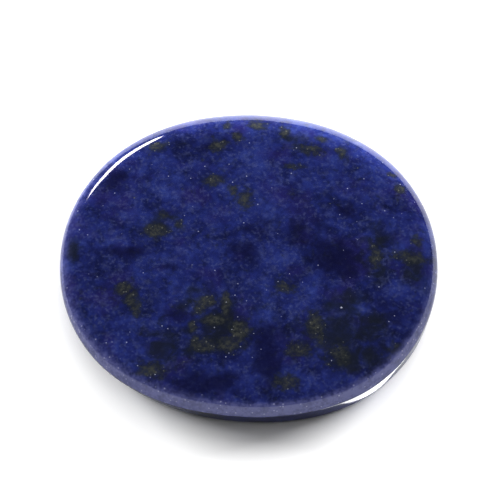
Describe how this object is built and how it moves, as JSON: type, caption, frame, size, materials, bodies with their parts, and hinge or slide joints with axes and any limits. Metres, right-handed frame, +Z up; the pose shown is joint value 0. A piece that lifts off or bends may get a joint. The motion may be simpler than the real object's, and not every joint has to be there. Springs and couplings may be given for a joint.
{
  "type": "polished lapis lazuli stone",
  "caption": "Flat oval lapis lazuli pocket stone, polished all over, with a broad gently crowned face, a soft ridge round the rim and a flat spot underneath to rest on.",
  "frame": {"origin": "middle of the stone's outline, on the plane that its flat spot rests on", "axes": "+X along the stone's longer side, +Y towards the broad soft part of the rim, +Z up out of the crowned face"},
  "size_m": [0.0392, 0.0368, 0.0049],
  "materials": {
    "lapis": "polished deep blue lapis lazuli with dark veins and flecks of pyrite and calcite"
  },
  "bodies": {
    "root": {"lapis_stone": "lapis"}
  },
  "joints": []
}
